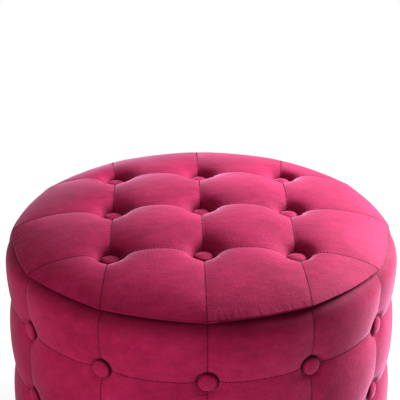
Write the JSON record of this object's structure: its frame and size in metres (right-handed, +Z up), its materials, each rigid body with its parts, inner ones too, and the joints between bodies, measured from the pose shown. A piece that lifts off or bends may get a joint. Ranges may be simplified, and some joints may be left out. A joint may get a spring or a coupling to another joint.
{
  "type": "storage pouf",
  "caption": "Round velvet storage pouf, buttoned and tufted on the top and sides, with a padded lift-off lid over a lined drum that stands on low glides.",
  "frame": {"origin": "middle of the pouf at the floor, under the glides", "axes": "+Z up; -Y is the side that the picture shows in front, with a line of buttons on it; the form repeats every quarter turn about +Z"},
  "size_m": [0.5494, 0.5494, 0.4342],
  "materials": {
    "velvet": "matte",
    "button_velvet": "matte",
    "foam": "matte",
    "plywood": "matte",
    "softwood": "matte",
    "hardboard": "matte",
    "lining_cloth": "matte",
    "dust_cloth": "matte",
    "twine": "matte",
    "zinc_steel": "satin",
    "staple_steel": "satin",
    "button_metal": "satin",
    "glide_plastic": "matte"
  },
  "bodies": {
    "base": {"base_board": "plywood", "top_ring": "plywood", "upright_posts": "softwood", "post_screws_lower": "zinc_steel", "post_screws_upper": "zinc_steel", "drum_wall": "hardboard", "wall_staples_lower": "staple_steel", "wall_staples_upper": "staple_steel", "side_foam": "foam", "side_cover": "velvet", "side_buttons_row_1": "button_velvet", "side_buttons_row_2": "button_velvet", "side_buttons_row_3": "button_velvet", "side_button_backs": "button_metal", "side_washers": "zinc_steel", "side_twines": "twine", "hem_staples": "staple_steel", "rim_staples": "staple_steel", "lining_wall": "lining_cloth", "lining_staples": "staple_steel", "lining_floor": "lining_cloth", "dust_cover": "dust_cloth", "dust_staples": "staple_steel", "glide_feet": "glide_plastic", "glide_screws": "zinc_steel"},
    "lid": {"lid_board": "plywood", "lid_foam": "foam", "lid_cover": "velvet", "lid_buttons": "button_velvet", "lid_button_backs": "button_metal", "lid_washers": "zinc_steel", "lid_twines": "twine", "lid_cover_staples": "staple_steel", "lid_lining": "dust_cloth", "lid_lining_staples": "staple_steel", "locating_ring": "plywood", "locating_ring_screws": "zinc_steel"}
  },
  "joints": [
    {"name": "lid_lift", "type": "slide", "parent": "base", "child": "lid", "axis": [0, 0, 1], "range_m": [0, 0.3]}
  ]
}
